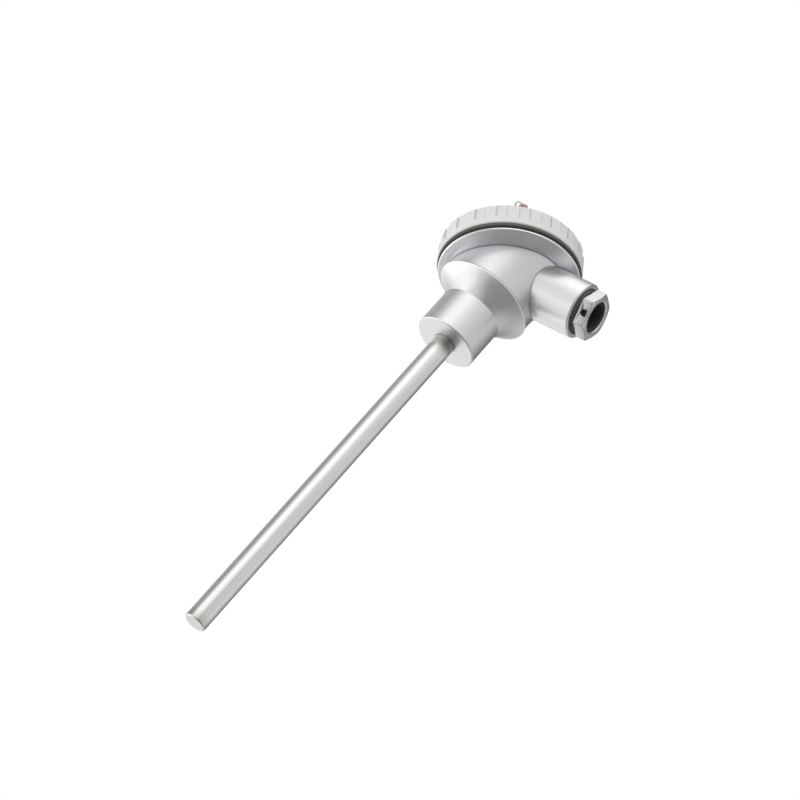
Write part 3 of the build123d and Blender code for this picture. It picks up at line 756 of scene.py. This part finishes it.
# Distances and angles of the mesh work, in millimetres and radians, and a flank's share of a pitch
MERGE = 0.0015
FINE_MERGE = 0.0005
TUCK = 0.02
LAP = 0.05
FLANK = 0.44
FLAT_ANGLE = math.radians(0.4)
ROUND_ANGLE = math.radians(28.0)
SHARP_ANGLE = math.radians(50.0)


@dataclass(frozen=True)
class Thread:
    """A screw thread wound on a core: radii, pitch and span along the axis, in millimetres."""

    core_r: float
    crest_r: float
    pitch: float
    start: float
    end: float
    segments: int


class Draft:
    """A mesh in the making, in millimetres, in the frame of the part."""

    def __init__(self, name: str) -> None:
        """Start an empty draft.

        Args:
            name: Name of the object that it becomes.
        """
        self.name = name
        self.bm = bmesh.new()

    def take_node(self, node: bpy.types.Object, keep: Optional[Test] = None) -> None:
        """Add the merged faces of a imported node.

        Args:
            node: The node's object.
            keep: Test on a face's middle, in millimetres; faces that fail it are left out.
        """
        part = bmesh.new()
        part.from_mesh(node.data)
        bmesh.ops.scale(part, vec=(1.0 / MM, 1.0 / MM, 1.0 / MM), verts=part.verts)
        bmesh.ops.remove_doubles(part, verts=part.verts, dist=MERGE)
        if keep is not None:
            gone = [face for face in part.faces if not keep(face.calc_center_median())]
            bmesh.ops.delete(part, geom=gone, context="FACES")
        self._join(part)

    def _join(self, part: bmesh.types.BMesh) -> None:
        """Add a separate mesh to the draft and free it.

        Args:
            part: The mesh.
        """
        whole = bpy.data.meshes.new("part")
        part.to_mesh(whole)
        part.free()
        self.bm.from_mesh(whole)
        bpy.data.meshes.remove(whole)

    def soften(self, width: float, keep: Optional[Test] = None) -> None:
        """Round the sharp edges.

        Args:
            width: Width of the rounding in millimetres.
            keep: Test on an edge's middle; edges that pass it stay as they are.
        """
        bm = self.bm
        bmesh.ops.dissolve_limit(bm, angle_limit=FLAT_ANGLE, verts=bm.verts, edges=bm.edges)
        sharp = []
        for edge in bm.edges:
            if len(edge.link_faces) == 2 and edge.calc_face_angle(0.0) > ROUND_ANGLE:
                if keep is None or not keep((edge.verts[0].co + edge.verts[1].co) / 2):
                    sharp.append(edge)
        bmesh.ops.bevel(
            bm,
            geom=sharp,
            offset=width,
            offset_type="OFFSET",
            segments=2,
            profile=0.5,
            affect="EDGES",
            clamp_overlap=True,
            material=-1,
        )

    def turn(self, profile: Sequence[Point], frame: Matrix, steps: int = 144) -> None:
        """Spin a profile of (radius, height) a full turn about a frame's Z axis.

        Args:
            profile: Points from one end to the other.
            frame: Where the axis is.
            steps: Faces round the axis.
        """
        points = [Vector((radius, 0.0, height)) for radius, height in profile]
        self._place_outward(self._wound(points, 1.0, 0.0, steps), frame)

    def thread(self, size: Thread, frame: Matrix) -> None:
        """Wind a thread with run-outs about a frame's Z axis.

        Args:
            size: The thread.
            frame: Where the axis is.
        """
        core, crest, pitch = size.core_r, size.crest_r, size.pitch
        shape = ((core, 0.0), (crest, FLANK * pitch), (crest, (1.0 - FLANK) * pitch), (core, pitch))
        profile = [Vector((radius, 0.0, size.start - pitch + height)) for radius, height in shape]
        turns = (size.end - size.start) / pitch + 1.0
        part = self._wound(profile, turns, pitch, round(size.segments * turns))
        for vert in part.verts:
            height = vert.co.z
            share = max(0.0, min(1.0, (height - size.start) / pitch, (size.end - height) / pitch))
            radius = math.hypot(vert.co.x, vert.co.y)
            wanted = core + (radius - core) * share - (TUCK if share == 0.0 else 0.0)
            vert.co.x *= wanted / radius
            vert.co.y *= wanted / radius
            vert.co.z = max(size.start, min(size.end, height))
        bmesh.ops.dissolve_degenerate(part, dist=FINE_MERGE, edges=part.edges)
        self._place_outward(part, frame)

    def _wound(
        self, profile: Sequence[Vector], turns: float, rise: float, steps: int
    ) -> bmesh.types.BMesh:
        """Spin a profile about Z, rising on each turn.

        Args:
            profile: Points in the XZ plane.
            turns: Turns of the spin.
            rise: Rise on each turn.
            steps: Steps of the spin.

        Returns:
            The new mesh.
        """
        part = bmesh.new()
        verts = [part.verts.new(point) for point in profile]
        edges = [part.edges.new(pair) for pair in zip(verts, verts[1:])]
        bmesh.ops.spin(
            part,
            geom=verts + edges,
            cent=(0.0, 0.0, 0.0),
            axis=(0.0, 0.0, 1.0),
            dvec=(0.0, 0.0, rise * turns / steps),
            angle=2 * math.pi * turns,
            steps=steps,
            use_merge=rise == 0.0,
            use_duplicate=False,
        )
        bmesh.ops.remove_doubles(part, verts=part.verts, dist=FINE_MERGE)
        return part

    def _place_outward(self, part: bmesh.types.BMesh, frame: Matrix) -> None:
        """Turn a wound mesh's faces away from its axis and add it at a frame.

        Args:
            part: The mesh, about its own Z axis.
            frame: Where it goes.
        """
        bmesh.ops.recalc_face_normals(part, faces=part.faces)
        outward = 0.0
        for face in part.faces:
            middle = face.calc_center_median()
            outward += face.calc_area() * (face.normal.x * middle.x + face.normal.y * middle.y)
        if outward < 0:
            bmesh.ops.reverse_faces(part, faces=part.faces)
        bmesh.ops.transform(part, matrix=frame, verts=part.verts)
        self._join(part)

    def finish(
        self, body: Optional[Body], slot: Slot, book: FinishBook, nodes: Sequence[str]
    ) -> bpy.types.Object:
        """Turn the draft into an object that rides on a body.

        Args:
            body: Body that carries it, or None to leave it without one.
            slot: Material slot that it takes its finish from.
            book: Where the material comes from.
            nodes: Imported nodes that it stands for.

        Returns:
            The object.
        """
        bm = self.bm
        bmesh.ops.scale(bm, vec=(MM, MM, MM), verts=bm.verts)
        bmesh.ops.triangulate(bm, faces=[face for face in bm.faces if len(face.verts) > 4])
        mesh = bpy.data.meshes.new(self.name)
        bm.to_mesh(mesh)
        bm.free()
        mesh.shade_smooth()
        mesh.set_sharp_from_angle(angle=SHARP_ANGLE)
        piece = bpy.data.objects.new(self.name, mesh)
        bpy.context.scene.collection.objects.link(piece)
        mesh.materials.append(book.get(FINISHES[slot]))
        weights = piece.modifiers.new("weighted_normals", "WEIGHTED_NORMAL")
        weights.mode = "FACE_AREA"
        weights.keep_sharp = True
        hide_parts(*nodes)
        if body is not None:
            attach(piece, body.value)
        LOG.info("%s: %d faces", self.name, len(mesh.polygons))
        return piece


@dataclass
class SubAssembly:
    """A group of pieces dressed together."""

    nodes: Dict[str, bpy.types.Object]
    book: FinishBook
    names: ClassVar[Dict[str, Slot]] = {}
    body: ClassVar[Body] = Body.HEAD

    def dressed_copy(self, name: str, body: Body, slot: Slot, width: float = 0.0) -> None:
        """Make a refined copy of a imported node.

        Args:
            name: The node.
            body: Body that carries it.
            slot: Material slot.
            width: Width of its edge rounding in millimetres.
        """
        draft = Draft("fine_" + name)
        draft.take_node(self.nodes[name])
        if width > 0:
            draft.soften(width)
        draft.finish(body, slot, self.book, [name])

    def build(self) -> None:
        """Make the plain pieces that the class names."""
        for name, slot in self.names.items():
            self.dressed_copy(name, self.body, slot)


@dataclass
class CastHead(SubAssembly):
    """The casting with its threaded neck, and the stem clamped in it.

    Skin is the depth of the neck's wall that the thread replaces. Lead and chamfer shape the ends
    of its core, and the thread stops short of them by run_in and run_out.
    """

    neck_r: float = 33.0
    neck_height: float = 11.3
    thread_depth: float = 0.75
    pitch: float = 1.5
    skin: float = 0.9
    lead: float = 0.35
    chamfer: float = 0.3
    run_in: float = 0.5
    run_out: float = 0.4
    edge_width: float = 0.3

    def build(self) -> None:
        """Make the head and the protection tube."""
        self._head()
        self.dressed_copy("protection_tube", Body.HEAD, Slot.STAINLESS)

    def _head(self) -> None:
        """Copy the casting, round its edges and cut the neck's thread."""
        inverse = SEAT.inverted()

        def off_neck(middle: Vector) -> bool:
            """Tell whether a face isn't on the neck's outer wall.

            Args:
                middle: The face's middle, in millimetres.

            Returns:
                True where the face stays.
            """
            local = inverse @ middle
            radius = math.hypot(local.x, local.y)
            on_wall = radius > self.neck_r - self.skin
            return not (LAP < local.z < self.neck_height - LAP and on_wall)

        draft = Draft("fine_head_body")
        draft.take_node(self.nodes["head_body"], off_neck)
        draft.soften(self.edge_width)
        core = self.neck_r - self.thread_depth
        draft.turn(
            [
                (self.neck_r + LAP, -TUCK / 2),
                (core, self.lead),
                (core, self.neck_height - self.chamfer),
                (core - self.lead, self.neck_height),
                (core - 2 * LAP, self.neck_height),
            ],
            SEAT,
        )
        top = self.neck_height - self.run_out
        draft.thread(Thread(core, self.neck_r, self.pitch, self.run_in, top, 96), SEAT)
        draft.finish(Body.HEAD, Slot.HEAD, self.book, ["head_body"])


@dataclass
class ScrewCap(SubAssembly):
    """The cap with its grip recesses, and the rubber band under it."""

    edge_width: float = 0.14
    band_width: float = 0.2

    def build(self) -> None:
        """Make the cap and the gasket."""
        self.dressed_copy("cap", Body.CAP, Slot.CAP, self.edge_width)
        self.dressed_copy("cap_gasket", Body.GASKET, Slot.RUBBER, self.band_width)


@dataclass
class CableGland(SubAssembly):
    """The hexagon nut with its threaded shank, the seal, the bush and the washer.

    Skin, lead, run_in and run_out do for the shank's thread what they do for the neck's.
    """

    shank_r: float = 11.0
    thread_depth: float = 0.75
    pitch: float = 1.5
    tail_x: float = 38.0
    hole_r: float = 1.85
    hole_angle: float = 126.1
    skin: float = 0.4
    lead: float = 0.6
    run_in: float = 0.3
    run_out: float = 0.5
    hole_margin: float = 0.2
    edge_width: float = 0.22
    seal_width: float = 0.15

    def build(self) -> None:
        """Make the gland's pieces."""
        self._nut()
        # Painted shade: the black rubber seal in the gap behind the nut and the grommet's rubber
        # sleeve in the nut's bore stand where these are in shade
        self.dressed_copy("gland_seal", Body.SEAL, Slot.RUBBER, self.seal_width)
        self.dressed_copy("gland_grommet", Body.HEAD, Slot.RUBBER)
        self.dressed_copy("gland_washer", Body.HEAD, Slot.ZINC)

    def _nut(self) -> None:
        """Copy the nut, keep its lock-wire hole crisp and wind the shank's thread."""
        turn = math.radians(self.hole_angle)
        way = Vector((0.0, -math.sin(turn), math.cos(turn)))
        centre = Vector(((NUT_BACK_X + NUT_FRONT_X) / 2, 0.0, CONDUIT_Z))

        def off_shank(middle: Vector) -> bool:
            """Tell whether a face isn't on the shank's outer wall.

            Args:
                middle: The face's middle, in millimetres.

            Returns:
                True where the face stays.
            """
            radius = math.hypot(middle.y, middle.z - CONDUIT_Z)
            on_wall = radius > self.shank_r - self.skin
            return not (self.tail_x + TUCK < middle.x < NUT_BACK_X - TUCK and on_wall)

        def at_hole(middle: Vector) -> bool:
            """Tell whether an edge is on the lock-wire hole.

            Args:
                middle: The edge's middle, in millimetres.

            Returns:
                True where the edge stays sharp.
            """
            offset = middle - centre
            aside = (offset - way * offset.dot(way)).length
            return offset.dot(way) > 0 and aside < self.hole_r + self.hole_margin

        draft = Draft("fine_gland_nut")
        draft.take_node(self.nodes["gland_nut"], off_shank)
        draft.soften(self.edge_width, at_hole)
        core = self.shank_r - self.thread_depth
        draft.turn(
            [
                (self.shank_r - TUCK, self.tail_x),
                (core, self.tail_x + self.lead),
                (core, NUT_BACK_X - self.lead),
                (self.shank_r + LAP, NUT_BACK_X + TUCK),
            ],
            CONDUIT,
            96,
        )
        start, end = self.tail_x + self.run_in, NUT_BACK_X - self.run_out
        draft.thread(Thread(core, self.shank_r, self.pitch, start, end, 64), CONDUIT)
        draft.finish(Body.NUT, Slot.NUT, self.book, ["gland_nut"])


@dataclass
class KeeperChain(SubAssembly):
    """The chain with its rings and studs.

    Its start and end on the seat are places in the seat's frame, in millimetres, that are not used.
    """

    start_on_seat: Tuple[float, float, float] = (-4.2, 34.0, -6.5)
    end_on_seat: Tuple[float, float, float] = (-4.2, 34.0, 14.7)

    def build(self) -> None:
        """Make the pieces, the chain without a body."""
        chain = Draft("fine_chain")
        chain.take_node(self.nodes["chain"])
        piece = chain.finish(None, Slot.CHAIN, self.book, ["chain"])
        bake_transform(piece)
        self.dressed_copy("cap_ring", Body.CAP, Slot.CHAIN)
        self.dressed_copy("lug_ring", Body.HEAD, Slot.CHAIN)
        self.dressed_copy("cap_stud", Body.CAP, Slot.COPPER)
        self.dressed_copy("lug_stud", Body.HEAD, Slot.ZINC)


@dataclass
class Terminals(SubAssembly):
    """The terminal block and what is screwed to it and to the casting."""

    names: ClassVar[Dict[str, Slot]] = {
        "tube_set_screw": Slot.ZINC,
        "terminal_block": Slot.CERAMIC,
        "terminal_posts": Slot.BRASS,
        "terminal_screws": Slot.ZINC,
        "block_screws": Slot.ZINC,
        "block_washers": Slot.ZINC,
        "earth_screw": Slot.ZINC,
        "earth_washer": Slot.ZINC,
    }


@dataclass
class Element(SubAssembly):
    """The wires, their insulation and the hot junction."""

    names: ClassVar[Dict[str, Slot]] = {
        "insulator_beads": Slot.CERAMIC,
        "tube_seal": Slot.SILICONE,
        "hot_junction": Slot.POSITIVE,
        "positive_wire": Slot.POSITIVE,
        "negative_wire": Slot.NEGATIVE,
        "wire_sleeves": Slot.SLEEVE,
    }


@dataclass(frozen=True)
class Lobe:
    """A soft patch of light in the studio's surround.

    It is full in its middle and ends where the cosine of the angle from there falls to edge.
    """

    way: Tuple[float, float, float]
    edge: float
    level: float


@dataclass
class Studio:
    """Floor, surround and camera.

    Focal is the camera's focal length in widths of the picture.
    """

    lobes: Tuple[Lobe, ...] = (
        Lobe((-0.77, -0.15, -0.62), 0.6, 1.4),
        Lobe((0.94, -0.13, 0.33), 0.6, 0.55),
        Lobe((-0.02, -0.55, 0.83), 0.6, 1.2),
        Lobe((-0.47, 0.68, -0.56), 0.5, 0.92),
        Lobe((-0.76, 0.64, 0.13), 0.6, 0.5),
        Lobe((-0.26, -0.42, 0.87), 0.6, 0.45),
        Lobe((0.68, 0.72, -0.14), 0.6, 0.5),
        Lobe((0.92, 0.35, 0.19), 0.6, 0.2),
        Lobe((0.53, -0.21, -0.82), 0.6, 0.2),
        Lobe((-0.24, -0.94, -0.22), 0.6, 0.9),
        Lobe((-0.75, -0.55, 0.35), 0.5, 0.25),
        Lobe((0.55, -0.70, 0.45), 0.75, 0.28),
    )
    base: float = 0.1
    floor_z: float = -0.95
    floor_size: float = 60.0
    floor_shade: float = 0.9
    floor_glow: float = 0.38
    sensor: float = 36.0
    focal: float = 3.646875
    camera_place: Tuple[float, float, float] = (0.660998, -1.148444, -0.703965)
    camera_turn: Tuple[float, float, float, float] = (0.4265916, 0.8459858, -0.0883132, 0.3074547)

    def build(self) -> None:
        """Make the studio."""
        self._world()
        self._floor()
        self._camera()

    def _world(self) -> None:
        """A white surround for the camera and a soft studio for the surfaces."""
        world = bpy.data.worlds.new("studio")
        bpy.context.scene.world = world
        world.use_nodes = True
        world.node_tree.nodes.clear()
        graph = Graph(world.node_tree)
        out = graph.add("ShaderNodeOutputWorld")
        way = graph.add("ShaderNodeVectorMath", operation="NORMALIZE")
        graph.link(graph.add("ShaderNodeTexCoord").outputs["Generated"], way.inputs[0])
        total: object = self.base
        for lobe in self.lobes:
            dot = graph.add("ShaderNodeVectorMath", operation="DOT_PRODUCT")
            graph.link(way.outputs[0], dot.inputs[0])
            dot.inputs[1].default_value = Vector(lobe.way).normalized()
            share = graph.span(dot.outputs["Value"], lobe.edge, 1.0, 0.0, lobe.level)
            total = graph.math("ADD", share, total)
        soft = graph.add("ShaderNodeBackground")
        graph.link(total, soft.inputs["Strength"])
        white = graph.add("ShaderNodeBackground")
        white.inputs["Color"].default_value = (1.0, 1.0, 1.0, 1.0)
        self._seen_by_camera(graph, white.outputs[0], soft.outputs[0], out)

    def _seen_by_camera(
        self, graph: Graph, seen: Socket, other: Socket, out: bpy.types.Node
    ) -> None:
        """Give the camera's rays one shader and all other rays another.

        Args:
            graph: The graph that it goes into.
            seen: Shader for the camera's rays.
            other: Shader for all other rays.
            out: The output node.
        """
        mix = graph.add("ShaderNodeMixShader")
        graph.link(graph.add("ShaderNodeLightPath").outputs["Is Camera Ray"], mix.inputs["Fac"])
        graph.link(other, mix.inputs[1])
        graph.link(seen, mix.inputs[2])
        graph.link(mix.outputs[0], out.inputs["Surface"])

    def _floor(self) -> None:
        """A plain pale floor far below."""
        draft = bmesh.new()
        bmesh.ops.create_grid(draft, x_segments=1, y_segments=1, size=self.floor_size)
        bmesh.ops.translate(draft, vec=(0.0, 0.0, self.floor_z), verts=draft.verts)
        mesh = bpy.data.meshes.new("floor")
        draft.to_mesh(mesh)
        draft.free()
        floor = bpy.data.objects.new("floor", mesh)
        bpy.context.scene.collection.objects.link(floor)
        material = bpy.data.materials.new("floor")
        material.use_nodes = True
        material.node_tree.nodes.clear()
        graph = Graph(material.node_tree)
        out = graph.add("ShaderNodeOutputMaterial")
        matt = graph.add("ShaderNodeBsdfDiffuse")
        matt.inputs["Color"].default_value = (*[self.floor_shade] * 3, 1.0)
        glow = graph.add("ShaderNodeEmission")
        glow.inputs["Strength"].default_value = self.floor_glow
        pale = graph.add("ShaderNodeAddShader")
        graph.link(matt.outputs[0], pale.inputs[0])
        graph.link(glow.outputs[0], pale.inputs[1])
        clear = graph.add("ShaderNodeBsdfTransparent")
        self._seen_by_camera(graph, pale.outputs[0], clear.outputs[0], out)
        mesh.materials.append(material)

    def _camera(self) -> None:
        """The photograph's view."""
        data = bpy.data.cameras.new("camera")
        data.sensor_width = self.sensor
        data.sensor_height = self.sensor
        data.lens = self.sensor * self.focal
        data.clip_start = 0.01
        camera = bpy.data.objects.new("camera", data)
        camera.rotation_mode = "QUATERNION"
        camera.location = self.camera_place
        camera.rotation_quaternion = self.camera_turn
        bpy.context.scene.collection.objects.link(camera)
        bpy.context.scene.camera = camera


def main() -> None:
    """Dress the part and set the studio."""
    logging.basicConfig(level=logging.INFO, format="%(name)s: %(message)s")
    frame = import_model()
    bpy.context.scene.view_settings.view_transform = "Standard"
    book = FinishBook()
    for group in (CastHead, ScrewCap, CableGland, KeeperChain, Terminals, Element):
        group(frame["nodes"], book).build()
    Studio().build()


if __name__ == "__main__":
    main()
